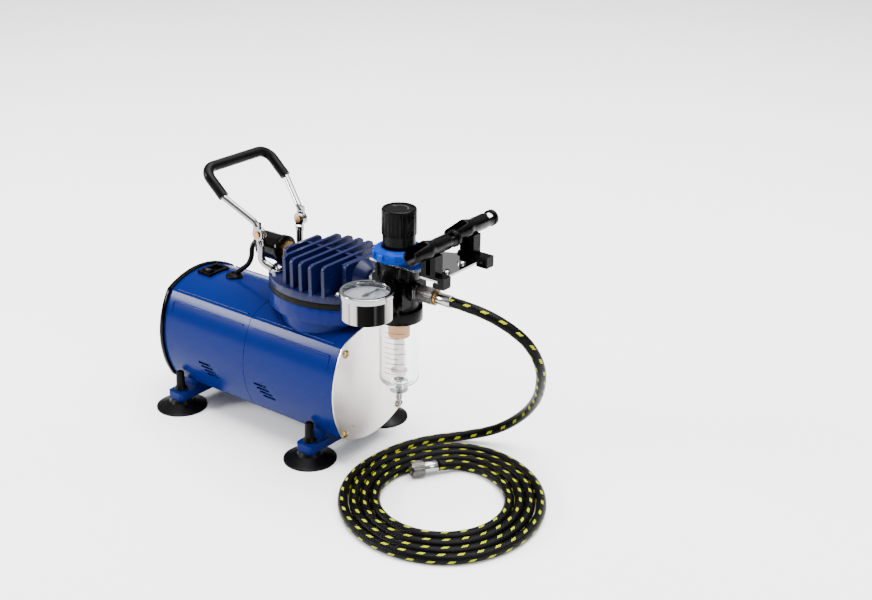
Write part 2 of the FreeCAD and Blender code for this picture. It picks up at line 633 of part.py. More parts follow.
def uprights():
    px, pz = D.pin_x.value, D.pin_z.value
    for side, where in ((-1, "near"), (1, "far")):
        y = side * D.pin_y.value
        bar = rod([V(px + 0.1, y, pz - 5.5), V(px - 0.5, y, pz - 22), V(13.4, side * 18.2, 131.8)],
                          D.upright_radius.value, [7])[0]
        eye = cylinder(f"{where}_eye", D.eye_radius, D.eye_thick, px, y - D.eye_thick / 2, pz, "Y")
        neck = block(f"{where}_neck", px, y, pz - 9.0, 6.6, D.eye_thick, 9)
        pad = cylinder(f"{where}_pad", 4.2, 2.3, 18.0, side * 15.4, D.head_top + 0.1)
        tongue = block(f"{where}_tongue", 14.4, side * 17.4, D.head_top + 0.1, 6, 4.8, 2.3)
        blank = fuse(f"{where}_upright", feature(f"{where}_bar", bar), eye, neck, pad, tongue)
        node(f"upright_{where}", cut(f"{where}_upright_drilled", blank,
                                     cylinder(f"{where}_eye_hole", 2.0, 8, px, y - 4, pz, "Y"),
                                     cylinder(f"{where}_pad_hole", 1.85, 8, 18.0, side * 15.4, 126),
                                     block(f"{where}_pad_floor", 15, side * 17, 120, 20, 20,
                                           D.head_top - 119.95)))
    pins = []
    for side in (-1, 1):
        start, head = (-1.3, 3.9) if side > 0 else (-3.9, 1.3)
        shank = cylinder(f"pin_{side}", 2.0, head - start, px, side * D.pin_y + start, pz, "Y")
        heads = [cylinder(f"pin_cap_{side}_{low}", 2.6, 0.9, px, side * D.pin_y + low, pz, "Y")
                 for low in (start - 0.9, head)]
        pins.append(fuse(f"pin_{side}_whole", shank, *heads))
    node("handle_pins", group("pins", *pins))


def bail():
    px, pz = D.pin_x.value, D.pin_z.value
    out = D.pin_y.value + 2.5
    near = [V(px - 0.7, -out, pz + 5.2), V(3.2, -out, 167.0), V(-17.6, -32.9, 183.7), V(-38.3, -33.2, 201.9)]
    whole = near + [V(p.x, -p.y, p.z) for p in reversed(near)]
    bends = [9, 8, 9.5, 9.5, 8, 9]
    bar = rod(whole, D.rod_radius.value, bends)[0]
    eyes, holes = [], []
    for side in (-1, 1):
        middle = side * out
        eyes.append(cylinder(f"bail_eye_{side}", D.eye_radius, D.eye_thick, px, middle - D.eye_thick / 2,
                             pz, "Y"))
        eyes.append(block(f"bail_neck_{side}", px - 0.7, middle, pz, 6.4, D.eye_thick, 9.5))
        holes.append(cylinder(f"bail_hole_{side}", 2.05, 8, px, middle - 4, pz, "Y"))
    node("handle_bail", cut("bail_shape", fuse("bail_blank", feature("bail_bar", bar), *eyes), *holes))

    along = (near[3] - near[2]).normalize()
    first = near[2] + along * 1.5
    path = [first, near[3], V(near[3].x, -near[3].y, near[3].z), V(first.x, -first.y, first.z)]
    sleeve = rod(path, D.grip_radius.value, [9.5, 9.5])[0]
    core = rod(path, D.rod_radius.value, [9.5, 9.5])[0]
    node("handle_grip", feature("grip", sleeve.cut(core)))


def pressure_switch():
    x, z = D.switch_rear, D.switch_z
    body = fuse("switch_body", cylinder("switch_can", D.switch_radius, D.switch_length, x, 0, z, "X"),
                cylinder("switch_rim", D.switch_radius + 0.7, 4, x + D.switch_length, 0, z, "X"),
                cone("strain_relief", 3.1, 5.0, 9, x - 9, 0, z, "X"))
    node("pressure_switch", cut("switch_bored", body, cylinder("switch_wire", D.lead_radius, 12, -23, 0, z,
                                                               "X")))
    start = D.switch_rear + D.switch_length + 4
    fitting = fuse("fitting_blank", hexagon("fitting_hex", 13.5, 7.5, start, 0, z),
                   cylinder("fitting_stub", 3.55, 27.5 - start + 2.5, start, 0, z, "X"),
                   cylinder("fitting_collar", 5.2, 26.4 - start, start, 0, z, "X"))
    node("switch_fitting", fitting)


# ---------------------------------------------------------------- filter regulator, gauge and holders

def regulator():
    x, z = D.reg_x, D.port_z
    parts = [cylinder("reg_barrel", D.body_radius, D.plate_low - 120, x, 0, 120),
             cylinder("reg_shoulder", D.body_radius + 1.6, 13, x, 0, D.plate_low - 13),
             block("reg_chest", x, 0, z - 11, 27.5, 27.5, 22),
             cylinder("reg_collar", D.collar_radius, 9, x, 0, D.collar_low),
             cylinder("bonnet", D.bonnet_radius, D.bonnet_top - D.plate_low + 1, x, 0, D.plate_low - 1),
             cylinder("port_boss", 7.8, 32.4, x - 16.2, 0, z, "X"),
             cylinder("gauge_boss", 6.0, 15.2, x, -15.2, z, "Y"),
             cylinder("spare_boss", 6.0, 15.2, x, 0, z, "Y")]
    for sx in (-1, 1):
        for sy in (-1, 1):
            parts.append(block(f"reg_rib_{sx}_{sy}", x + sx * 9.5, sy * 10.6, 124, 2.2, 6.5, 34))
    for step in (-64, -42, 42, 64):
        turn = FreeCAD.Rotation(V(0, 0, 1), step)
        spot = turn.multVec(V(13.0, -1.0, 0))
        rib = doc.addObject("Part::Box", f"side_rib_{step}")
        rib.Length, rib.Width, rib.Height = 4.6, 2.0, 23
        parts.append(place(rib, x + spot.x, spot.y, 127, turn))
    for step in range(10):
        turn = FreeCAD.Rotation(V(0, 0, 1), 36 * step + 18)
        spot = turn.multVec(V(12.4, -1.1, 0))
        rib = doc.addObject("Part::Box", f"bonnet_rib_{step}")
        rib.Length, rib.Width, rib.Height = 1.6, 2.2, 7
        parts.append(place(rib, x + spot.x, spot.y, 147, turn))
    body = cut("reg_body", fuse("reg_blank", *parts),
               cylinder("reg_inside", 12.4, 13.2, x, 0, 114),
               cylinder("reg_throat", 3.55, 30, x, 0, 120),
               cylinder("reg_ports", 3.6, 40, x - 20, 0, z, "X"),
               cylinder("gauge_port", 3.0, 20, x, -20, z, "Y"),
               cylinder("spindle_hole", D.spindle_radius + 0.05, 30, x, 0, 148.5))
    node("regulator_body", body)

    spindle = cylinder("spindle", D.spindle_radius, 36.5, x, 0, 149)
    node("adjusting_spindle", spindle)

    ring = turned("ring_blank", [(D.bonnet_radius + 0.05, 0), (D.nut_radius, 0), (D.nut_radius, 4.6),
                                 (17.6, 6.4),
                                 (14.6, 7.9), (D.bonnet_radius + 0.05, 7.9)], x, 0,
                                 D.plate_low + D.holder_plate_thick)
    notches = []
    for step in range(12):
        turn = FreeCAD.Rotation(V(0, 0, 1), 30 * step + 7)
        spot = turn.multVec(V(17.9, -2.0, 0))
        notch = doc.addObject("Part::Box", f"notch_{step}")
        notch.Length, notch.Width, notch.Height = 4, 4.0, 10
        notches.append(place(notch, x + spot.x, spot.y, D.plate_low + D.holder_plate_thick + 1.6, turn))
    node("ring_nut", cut("ring_castellated", ring, *notches))

    cap = turned("knob_blank", [(0, 15), (D.spindle_radius + 0.05, 15), (D.spindle_radius + 0.05, 0),
                                (11.7, 0), (11.9, 8.0), (D.knob_radius, 8.2), (D.knob_radius, 25.4),
                                (D.knob_radius - 1.3, 26.8, 1.4), (10.6, 26.8), (10.2, 26.0), (0, 26.0)],
                 x, 0, D.knob_low)
    grooves = []
    for step in range(26):
        angle = 2 * math.pi * step / 26
        grooves.append(cylinder(f"groove_{step}", 0.75, 17, x + 12.75 * math.cos(angle),
                                12.75 * math.sin(angle),
                                D.knob_low + 8.2))
    node("knob", cut("knob_fluted", cap, *grooves))


def holder_plate():
    outline_points = [(106, -15.5), (152, -15.5), (154, -21), (169.5, -21), (169.5, 40.5), (151, 40.5),
                      (147, 29.5), (124, 19.5), (108, 15.5)]
    plate = padded("plate_blank", "XY_Plane", D.holder_plate_thick, outline_points, z=D.plate_low)
    node("holder_plate", cut("plate_drilled", plate,
                             cylinder("plate_bore", D.bonnet_radius + 0.05, 6, D.reg_x, 0, D.plate_low - 2),
                             *[cylinder(f"plate_hole_{n}", 1.6, 6, px, py, D.plate_low - 2)
                               for n, (px, py) in enumerate(PLATE_SCREWS)]))
    screws = []
    for number, (px, py) in enumerate(PLATE_SCREWS):
        top = D.plate_low + D.holder_plate_thick
        dome = turned(f"plate_screw_{number}", [(0, -5), (1.55, -5), (1.55, 0), (3.0, 0), (3.0, 1.0),
                                                (0, 2.2, 3.4)],
                      px, py, top)
        screws.append(cut(f"plate_bolt_{number}", dome,
                          block(f"plate_slot_{number}", px, py, top + 1.6, 4.4, 0.7, 1.2)))
    node("holder_plate_screws", group("plate_bolts", *screws))


PLATE_SCREWS = [(164.0, -4.0), (162.5, 16.0)]


def holder(where, x, y):
    """A sprung clip on the plate's edge with two uprights and a trough for the airbrush."""
    top = D.plate_low + D.holder_plate_thick
    edge = 169.6
    foot = block(f"{where}_foot", (edge + x - 3.5) / 2, y, top + 0.1, edge + 12.5 - x, 8.4, 1.8)
    lip = block(f"{where}_lip", edge + 2.3, y, top - 6.2, 4.4, 8.4, 8.1)
    hook = block(f"{where}_hook", edge - 0.2, y, top - 6.2, 9, 8.4, 3.2)
    posts = [block(f"{where}_post_{n}", x + shift, y, top + 1, 4.2, 8.4, 15) for n,
             shift in enumerate((-3.9, 3.9))]
    web = block(f"{where}_web", x, y + 1.6, top + 1, 9, 2.2, 15)
    start = y - 24
    trough = cylinder(f"{where}_trough", D.cradle_radius, 40, x, start, D.cradle_z, "Y")
    flare = cone(f"{where}_flare", D.cradle_radius - 0.6, D.cradle_radius + 1.3, 17, x, start,
                 D.cradle_z + 0.6, "Y")
    shoulder = cone(f"{where}_shoulder", D.cradle_radius + 1.3, D.cradle_radius - 0.4, 7,
                    x, start + 17, D.cradle_z + 0.6, "Y")
    tail = cylinder(f"{where}_tail", D.cradle_radius - 0.3, 50, x, start, D.cradle_z, "Y")
    band = cylinder(f"{where}_band", D.cradle_radius + 0.3, 3, x, start + 47, D.cradle_z, "Y")
    blank = fuse(f"{where}_holder", foot, lip, hook, *posts, web, trough, flare, shoulder, tail, band)
    mouth = block(f"{where}_mouth", x, start + 6.5, D.cradle_z + 1.5, 7.4, 17, 12)
    notch = block(f"{where}_notch", x, start + 43.4, D.cradle_z + 2.6, 14, 5.6, 12)
    bore = cylinder(f"{where}_bore", D.cradle_bore, 70, x, start - 10, D.cradle_z, "Y")
    node(f"holder_{where}", cut(f"{where}_holder_bored", blank, mouth, notch, bore))


def gauge():
    x, y, low = D.reg_x, D.gauge_y, D.gauge_low
    tall = D.gauge_high - low
    case = turned("gauge_cup", [(0, 0), (D.gauge_radius - 1.2, 0), (D.gauge_radius - 0.4, 0.8, 0.8),
                                (D.gauge_radius - 0.4, tall - 4.4), (D.gauge_radius, tall - 4.2),
                                (D.gauge_radius, tall - 0.8),
                                (D.gauge_radius - 0.8, tall, 0.8), (16.6, tall), (16.6, tall - 2.2),
                                (17.6, tall - 2.2),
                                (17.6, 1.2), (0.85, 1.2), (0.85, 0.6), (0, 0.6)], x, y, low)
    stem = cylinder("gauge_stem", 2.95, 13, x, y + 17.9, D.port_z, "Y")
    collar = cylinder("gauge_collar", 5.0, 2.5, x, y + 17.9, D.port_z, "Y")
    works = tube("gauge_works", 7, 0.85, 13.4, x, y, low + 1)
    node("gauge_case", fuse("gauge_body", case, stem, collar, works))
    node("gauge_dial", tube("dial", 17.5, 0.9, 0.8, x, y, low + 14.5))
    hub = cylinder("needle_hub", 1.7, 0.9, x, y, low + 16.0)
    arbor = cylinder("needle_arbor", 0.8, 8, x, y, low + 8.4)
    pointer = padded("pointer", "XY_Plane", 0.5, [(-1.1, -4.5), (1.1, -4.5), (0.35, 12.8), (-0.35, 12.8)],
                     x=x, y=y, z=low + 16.2)
    node("gauge_needle", fuse("needle", hub, arbor, pointer))
    node("gauge_glass", cylinder("glass", 17.5, 0.7, x, y, low + tall - 3.0))


def filter_bowl():
    x, low = D.reg_x, D.bowl_low
    outer, inner = D.bowl_radius, D.bowl_radius - D.bowl_wall
    bowl = turned("bowl", [(D.drain_radius + 0.05, low - 6.6), (6.4, low - 6.6), (6.9, low - 6.0), (6.9, low),
                           (outer - 6, low), (outer, low + 6, 6.2), (outer, 114.9), (inner, 114.9),
                           (inner, low + 7), (inner - 5, low + 1.8, -5),
                           (D.drain_radius + 0.05, low + 1.8)], x, 0, 0)
    node("filter_bowl", bowl)
    element = turned("element", [(2.4, 72.5), (6.2, 72.5), (6.2, 73.6), (3.4, 74.4), (3.4, 100), (7.9, 101),
                                 (7.9, 116.5), (3.5, 116.5), (3.5, 127), (2.4, 127)], x, 0, 0)
    node("filter_element", element)
    drain = turned("drain", [(0, 44.6), (1.6, 44.6), (2.9, 46.2, 2.4), (1.5, 48.2, 2.6), (1.5, 49.5),
                             (D.drain_radius, 50), (D.drain_radius, low + 1.9), (3.8, low + 1.9),
                             (3.8, low + 3.2),
                             (1.2, low + 4), (0, low + 4)], x, 0, 0)
    node("drain_valve", drain)


def nipple_and_outlet():
    z = D.port_z
    nipple = fuse("nipple_blank", cylinder("nipple_tube", 3.55, 24, 88.5, 0, z, "X"),
                  hexagon("nipple_hex", 11, 5, 96.5, 0, z))
    node("outlet_nipple", cut("nipple", nipple, cylinder("nipple_bore", 2, 30, 85, 0, z, "X")))
    fitting = fuse("outlet_blank", cylinder("outlet_thread", 3.55, 10, 127, 0, z, "X"),
                   hexagon("outlet_hex", 12, 3.1, 136.3, 0, z),
                   cylinder("outlet_nose", 4.1, 10, 137, 0, z, "X"),
                   cylinder("outlet_brass", 4.9, 1.4, 153.1, 0, z, "X"),
                   cylinder("outlet_tail", 2.6, 16, 144, 0, z, "X"))
    node("outlet_fitting", cut("outlet", fitting, cylinder("outlet_bore", 1.6, 45, 120, 0, z, "X")))
    coupling = cylinder("coupling", 6.0, 13.6, 139.5, 0, z, "X")
    knurls = [cylinder(f"knurl_{n}", 0.5, 11, 140.8, 6.15 * math.cos(n * math.pi / 15),
                       z + 6.15 * math.sin(n * math.pi / 15), "X") for n in range(30)]
    node("outlet_nut", cut("coupling_knurled", coupling, *knurls,
                           cylinder("coupling_seat", 4.1, 7.6, 139.4, 0, z, "X"),
                           cylinder("coupling_bore", 2.65, 20, 136, 0, z, "X")))
    ferrule = turned("ferrule", [(2.65, 0), (3.9, 0), (4.35, 0.8), (4.35, 12.0), (4.1, 12.5), (2.65, 12.5)],
                     154.5, 0, z, TURN["X"])
    node("hose_ferrule", ferrule)


# ---------------------------------------------------------------- air hose

HOSE_ROUTE = [V(167.0, 0, 139.0), V(188.0, 0, 139.0), V(207.3, 6, 131.5), V(220.6, 16.5, 117.2),
              V(224.8, 26.9, 96.9), V(215.7, 42.2, 72.2), V(202.3, 57.5, 50.1), V(186.4, 65.4, 29.7),
              V(165.9, 62.8, 12.1), V(143.2, 50.1, 4.6), V(125.6, 30.7, 3.8), V(115.2, 6.9, 3.8),
              V(109.8, -18.5, 3.8)]


def hose():
    radius = D.hose_radius.value
    radii = eased(HOSE_ROUTE)
    lead, length = rod(HOSE_ROUTE, radius, radii)
    section_area = math.pi * radius ** 2
    print(f"hose lead: {length:.1f} mm, volume ratio {lead.Volume / (section_area * length):.4f}, radii",
          [round(r, 1) for r in radii])
    node("hose_lead", feature("hose_tube", lead))
    x, y, turn = D.coil_x, D.coil_y, D.coil_turn.value
    high = 2 * D.hose_radius
    coil = cut("coil", oval("coil_outside", 79.4, 73.7, 0, high, x, y, turn),
               oval("coil_inside", 45.2, 44.2, 0, high, x, y, turn))
    node("hose_coil", coil)

    way = V(-10.6, -15.7, 0).normalize()
    turn = FreeCAD.Rotation(V(0, 0, 1), way)
    start = V(156.4, -0.6, 6.0)
    sleeve = turned("end_sleeve", [(0, 0), (3.75, 0), (4.35, 0.8), (4.35, 10.2), (0, 10.2)], start.x,
                    start.y, start.z, turn)
    node("hose_end_ferrule", sleeve)
    tip = start + way * 10.3
    nut = turned("end_nut", [(0, 0), (4.8, 0), (5.95, 0.9), (5.95, 9.2), (5.4, 9.8), (4.4, 9.8), (4.4, 1.8),
                             (0, 1.8)],
                 tip.x, tip.y, tip.z, turn)
    knurls = []
    for n in range(24):
        angle = 2 * math.pi * n / 24
        spot = tip + way * 2.2 + turn.multVec(V(6.1 * math.cos(angle), 6.1 * math.sin(angle), 0))
        knurls.append(cylinder(f"end_knurl_{n}", 0.45, 5.6, spot.x, spot.y, spot.z))
        knurls[-1].Placement.Rotation = turn
    node("hose_end_nut", cut("end_nut_knurled", nut, *knurls))


housing()
feet()
rocker_switch()
grommet_and_lead()
motor()
crank()
crankcase()
cylinder_and_head()
uprights()
bail()
pressure_switch()
regulator()
holder_plate()
holder("near", D.near_holder_x, D.near_holder_y)
holder("far", D.far_holder_x, D.far_holder_y)
gauge()
filter_bowl()
nipple_and_outlet()
hose()

doc.recompute()
failed = [obj.Label for obj in doc.Objects if "Invalid" in obj.State or "Error" in obj.State]
if failed:
    raise RuntimeError(f"these did not compute: {failed}")
os.makedirs("parts", exist_ok=True)
box = None
for name, obj in NODES.items():
    shape = obj.Shape
    if shape.isNull() or not shape.isValid() or not shape.Solids:
        raise RuntimeError(f"{name} has no valid solid")
    shape.exportStep(f"parts/{name}.step")
    print(f"{name:22s} {len(shape.Solids):2d} solids {shape.Volume / 1000:9.2f} cm3",
          [round(v, 1) for v in (shape.BoundBox.XMin, shape.BoundBox.XMax, shape.BoundBox.YMin,
                                 shape.BoundBox.YMax, shape.BoundBox.ZMin, shape.BoundBox.ZMax)])
print(len(NODES), "nodes")
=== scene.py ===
"""Looks of the airbrush compressor: camera, hose, studio, materials and small printed or moulded details."""
import json
import math

import bmesh
import bpy
from mathutils import Matrix, Vector


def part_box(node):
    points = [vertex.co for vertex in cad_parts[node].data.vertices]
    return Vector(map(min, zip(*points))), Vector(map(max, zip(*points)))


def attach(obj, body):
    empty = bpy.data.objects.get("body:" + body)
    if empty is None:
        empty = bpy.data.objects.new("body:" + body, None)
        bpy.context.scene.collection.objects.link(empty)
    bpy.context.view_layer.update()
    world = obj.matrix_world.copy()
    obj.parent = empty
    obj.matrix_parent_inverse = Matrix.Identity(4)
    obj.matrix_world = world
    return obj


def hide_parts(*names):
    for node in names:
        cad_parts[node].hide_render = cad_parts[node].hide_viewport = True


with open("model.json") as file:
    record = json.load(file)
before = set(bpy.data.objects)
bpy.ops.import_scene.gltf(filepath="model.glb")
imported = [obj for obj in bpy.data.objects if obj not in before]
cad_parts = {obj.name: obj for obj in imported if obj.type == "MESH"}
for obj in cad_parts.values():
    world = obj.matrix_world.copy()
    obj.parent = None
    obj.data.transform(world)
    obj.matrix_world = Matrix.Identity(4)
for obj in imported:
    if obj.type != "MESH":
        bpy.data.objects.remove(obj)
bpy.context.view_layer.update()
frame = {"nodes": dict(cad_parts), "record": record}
nodes = frame["nodes"]

MM = 0.001
DATUM_X = -0.04095


def at(x, y, z):
    """A point of the housing's frame, in millimetres, as a place in the scene, in metres."""
    return Vector((x * MM + DATUM_X, y * MM, z * MM))


# ---------------------------------------------------------------- camera

AZIMUTH, ELEVATION, ROLL = math.radians(36.95), math.radians(23.06), math.radians(0.71)


def make_camera():
    data = bpy.data.cameras.new("camera")
    data.sensor_width = 36
    data.lens = 55.89
    data.clip_start = 0.01
    camera = bpy.data.objects.new("camera", data)
    bpy.context.scene.collection.objects.link(camera)
    forward = Vector((-math.sin(AZIMUTH) * math.cos(ELEVATION), math.cos(AZIMUTH) * math.cos(ELEVATION),
                      -math.sin(ELEVATION)))
    level = Vector((math.cos(AZIMUTH), math.sin(AZIMUTH), 0))
    upright = level.cross(forward)
    right = level * math.cos(ROLL) + upright * math.sin(ROLL)
    up = upright * math.cos(ROLL) - level * math.sin(ROLL)
    turn = Matrix((right, up, -forward)).transposed().to_4x4()
    camera.matrix_world = Matrix.Translation(at(674.65, -693.68, 506.49)) @ turn
    bpy.context.scene.camera = camera


make_camera()

# ---------------------------------------------------------------- node materials


class Nodes:
    """A material's node tree, with short calls for the nodes used here."""

    def __init__(self, name):
        self.material = bpy.data.materials.new(name)
        self.material.use_nodes = True
        self.tree = self.material.node_tree
        self.shader = self.tree.nodes["Principled BSDF"]

    def add(self, kind, **settings):
        node = self.tree.nodes.new(kind)
        for key, value in settings.items():
            setattr(node, key, value)
        return node

    def link(self, source, target):
        self.tree.links.new(source, target)

    def feed(self, socket, value):
        if isinstance(value, bpy.types.NodeSocket):
            self.link(value, socket)
        else:
            socket.default_value = value

    def math(self, operation, *values):
        node = self.add("ShaderNodeMath", operation=operation)
        for socket, value in zip(node.inputs, values):
            self.feed(socket, value)
        return node.outputs[0]

    def place(self):
        return self.add("ShaderNodeTexCoord").outputs["Object"]

    def noise(self, scale, detail=3.0, roughness=0.5, stretch=None, vector=None):
        node = self.add("ShaderNodeTexNoise")
        node.inputs["Scale"].default_value = scale
        node.inputs["Detail"].default_value = detail
        node.inputs["Roughness"].default_value = roughness
        vector = vector or self.place()
        if stretch:
            mapping = self.add("ShaderNodeMapping")
            mapping.inputs["Scale"].default_value = stretch
            self.link(vector, mapping.inputs["Vector"])
            vector = mapping.outputs[0]
        self.link(vector, node.inputs["Vector"])
        return node.outputs["Fac"]

    def spread(self, value, low, high, start=0.3, end=0.7):
        node = self.add("ShaderNodeMapRange")
        self.link(value, node.inputs["Value"])
        for name, number in (("From Min", start), ("From Max", end), ("To Min", low), ("To Max", high)):
            node.inputs[name].default_value = number
        return node.outputs[0]

    def mix(self, factor, first, second):
        node = self.add("ShaderNodeMix", data_type="RGBA")
        self.feed(node.inputs[0], factor)
        self.feed(node.inputs[6], first)
        self.feed(node.inputs[7], second)
        return node.outputs[2]

    def above(self, axis, limit):
        """1 where the object's own X, Y or Z, in metres, is over the limit."""
        split = self.add("ShaderNodeSeparateXYZ")
        self.link(self.place(), split.inputs[0])
        return self.math("GREATER_THAN", split.outputs["XYZ".index(axis)], limit)

    def bump(self, height, strength, distance=0.0002):
        node = self.add("ShaderNodeBump")
        node.inputs["Strength"].default_value = strength
        node.inputs["Distance"].default_value = distance
        self.link(height, node.inputs["Height"])
        self.link(node.outputs[0], self.shader.inputs["Normal"])

    def set(self, **values):
        for name, value in values.items():
            self.feed(self.shader.inputs[name.replace("_", " ").title().replace("Ior", "IOR")], value)
        return self


def colour(red, green, blue):
    """An sRGB colour, 0 to 255, as scene-linear."""
    def linear(level):
        return ((level / 255 + 0.055) / 1.055) ** 2.4 if level > 10 else level / 255 / 12.92

    return linear(red), linear(green), linear(blue), 1.0


def shaded(rgb, share):
    return tuple(c * share for c in rgb[:3]) + (1.0,)


def paint(name, rgb, rough=0.25, coat=0.05, orange_peel=0.006, dust=0.06):
    """Sprayed enamel: gloss clear coat, slight orange peel and a trace of unevenness."""
    n = Nodes(name)
    cloud = n.noise(38, 4)
    n.set(base_color=n.mix(n.spread(cloud, 0, 1), rgb, shaded(rgb, 1 - dust)),
          roughness=n.spread(n.noise(90, 3), rough, rough + 0.02))
    n.shader.inputs["Coat Weight"].default_value = coat
    n.shader.inputs["Coat Roughness"].default_value = 0.15
    n.shader.inputs["Specular IOR Level"].default_value = 0.05
    n.bump(n.noise(700, 2), orange_peel, 0.0001)
    return n.material


def cast_paint(name, rgb):
    """Paint over a sand casting: fine grain and a soft sheen."""
    n = Nodes(name)
    n.set(base_color=n.mix(n.spread(n.noise(60, 5), 0, 1), rgb, shaded(rgb, 0.75)),
          roughness=n.spread(n.noise(300, 4), 0.26, 0.42))
    n.shader.inputs["Specular IOR Level"].default_value = 0.16
    n.bump(n.noise(1200, 3, 0.6), 0.05, 0.0002)
    return n.material


def plastic(name, rgb, rough=0.35, grain=0.12, scale=1600):
    n = Nodes(name)
    n.set(base_color=n.mix(n.spread(n.noise(70, 4), 0, 1), rgb, shaded(rgb, 0.8)),
          roughness=n.spread(n.noise(220, 3), rough - 0.06, rough + 0.08))
    n.shader.inputs["Specular IOR Level"].default_value = 0.06
    n.bump(n.noise(scale, 3, 0.6), grain, 0.00015)
    return n.material


def rubber(name, rgb, rough=0.55):
    n = Nodes(name)
    n.set(base_color=n.mix(n.spread(n.noise(50, 5), 0, 1), rgb, shaded(rgb, 1.7)),
          roughness=n.spread(n.noise(160, 4), rough - 0.1, rough + 0.12))
    n.shader.inputs["Specular IOR Level"].default_value = 0.06
    n.bump(n.noise(1100, 4, 0.6), 0.1, 0.0002)
    return n.material


def metal(name, rgb, rough=0.08, brushed=None, wear=0.08):
    """Plated or turned metal; brushed stretches the grain along the two axes with a small scale."""
    n = Nodes(name)
    grain = n.noise(260, 5, 0.6, stretch=brushed) if brushed else n.noise(140, 4)
    n.set(base_color=n.mix(n.spread(n.noise(45, 4), 0, 1), rgb, shaded(rgb, 1 - wear)), metallic=1.0,
          roughness=n.spread(grain, max(0.02, rough - 0.03), rough + 0.06))
    n.bump(grain, 0.05 if brushed else 0.02, 0.0001)
    return n.material


def clear(name, tint, rough=0.03):
    n = Nodes(name)
    n.set(base_color=tint, roughness=n.spread(n.noise(60, 3), rough, rough + 0.05))
    n.shader.inputs["Transmission Weight"].default_value = 1.0
    n.shader.inputs["IOR"].default_value = 1.32
    n.bump(n.noise(120, 2), 0.02, 0.0001)
    return n.material


def outlet_metal(name):
    """Dark ribbed nickel with a brass ring at the hose's end."""
    n = Nodes(name)
    nut_end, rib_pitch = 153 * MM + DATUM_X, 0.0014
    brass = n.above("X", nut_end)
    n.set(base_color=n.mix(brass, (0.09, 0.088, 0.085, 1), (0.4, 0.22, 0.07, 1)), metallic=1.0,
          roughness=n.spread(n.noise(140, 4), 0.08, 0.2))
    split = n.add("ShaderNodeSeparateXYZ")
    n.link(n.place(), split.inputs[0])
    n.bump(n.math("SINE", n.math("MULTIPLY", split.outputs[0], 2 * math.pi / rib_pitch)), 0.5, 0.0003)
    return n.material


def gauge_chrome(name):
    """Chrome with a painted reflection: light and dark upright bands round the gauge's case, by angle."""
    low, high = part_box("gauge_case")
    n = Nodes(name)
    split = n.add("ShaderNodeSeparateXYZ")
    n.link(n.place(), split.inputs[0])
    turn = n.math("ARCTAN2", n.math("SUBTRACT", split.outputs[1], (low.y + high.y) / 2),
                  n.math("SUBTRACT", split.outputs[0], (low.x + high.x) / 2))
    # Painted reflection: bands of light and dark by angle round the case, darkest on the side that faces the
    # camera.
    ramp = n.add("ShaderNodeValToRGB")
    n.link(n.spread(turn, 0, 1, -math.pi, math.pi), ramp.inputs[0])
    stops = ramp.color_ramp.elements
    stops[0].position, stops[0].color = 0.0, (0.3, 0.3, 0.3, 1)
    stops[1].position, stops[1].color = 1.0, (0.3, 0.3, 0.3, 1)
    for degrees, shade in ((-116, 0.1), (-100, 0.32), (-92, 0.28), (-90, 0.06), (-88, 0.34), (-78, 0.3),
                           (-75, 0.004), (-48, 0.0015), (-46, 0.02), (-41, 0.002), (-27, 0.003), (-22, 0.25),
                           (-2, 0.36), (8, 0.06), (20, 0.34), (95, 0.02), (110, 0.36)):
        stop = stops.new((degrees + 180) / 360)
        stop.color = (shade, shade * 0.96, shade * 0.94, 1)
    bezel = 0.0045
    side = n.math("SUBTRACT", 1.0, n.above("Z", high.z - bezel))
    n.set(base_color=n.mix(side, (0.3, 0.3, 0.305, 1), ramp.outputs[0]), metallic=1.0,
          roughness=n.spread(n.noise(140, 4), 0.04, 0.1))
    return n.material


def filter_plastic(name):
    """Orange sintered filter on a milky stem."""
    n = Nodes(name)
    stem_top = 100.6 * MM
    orange = n.mix(n.spread(n.noise(900, 3), 0, 1), (0.62, 0.33, 0.1, 1), (0.5, 0.25, 0.07, 1))
    n.set(base_color=n.mix(n.above("Z", stem_top), (0.9, 0.89, 0.87, 1), orange), roughness=0.6)
    n.bump(n.noise(1400, 3), 0.3, 0.0002)
    return n.material


def gasket_plate(name):
    """Dark bronze plate between two thin black gaskets."""
    n = Nodes(name)
    lower_gasket_top, upper_gasket_base = 119.3 * MM, 122.5 * MM
    gasket = n.math("MAXIMUM", n.above("Z", upper_gasket_base),
                    n.math("SUBTRACT", 1.0, n.above("Z", lower_gasket_top)))
    bronze = n.mix(n.spread(n.noise(80, 4), 0, 1), (0.004, 0.0036, 0.0022, 1), (0.0026, 0.0024, 0.0014, 1))
    n.set(base_color=n.mix(gasket, bronze, (0.0008, 0.0008, 0.001, 1)),
          roughness=n.spread(n.noise(200, 4), 0.35, 0.5))
    n.shader.inputs["Specular IOR Level"].default_value = 0.04
    return n.material


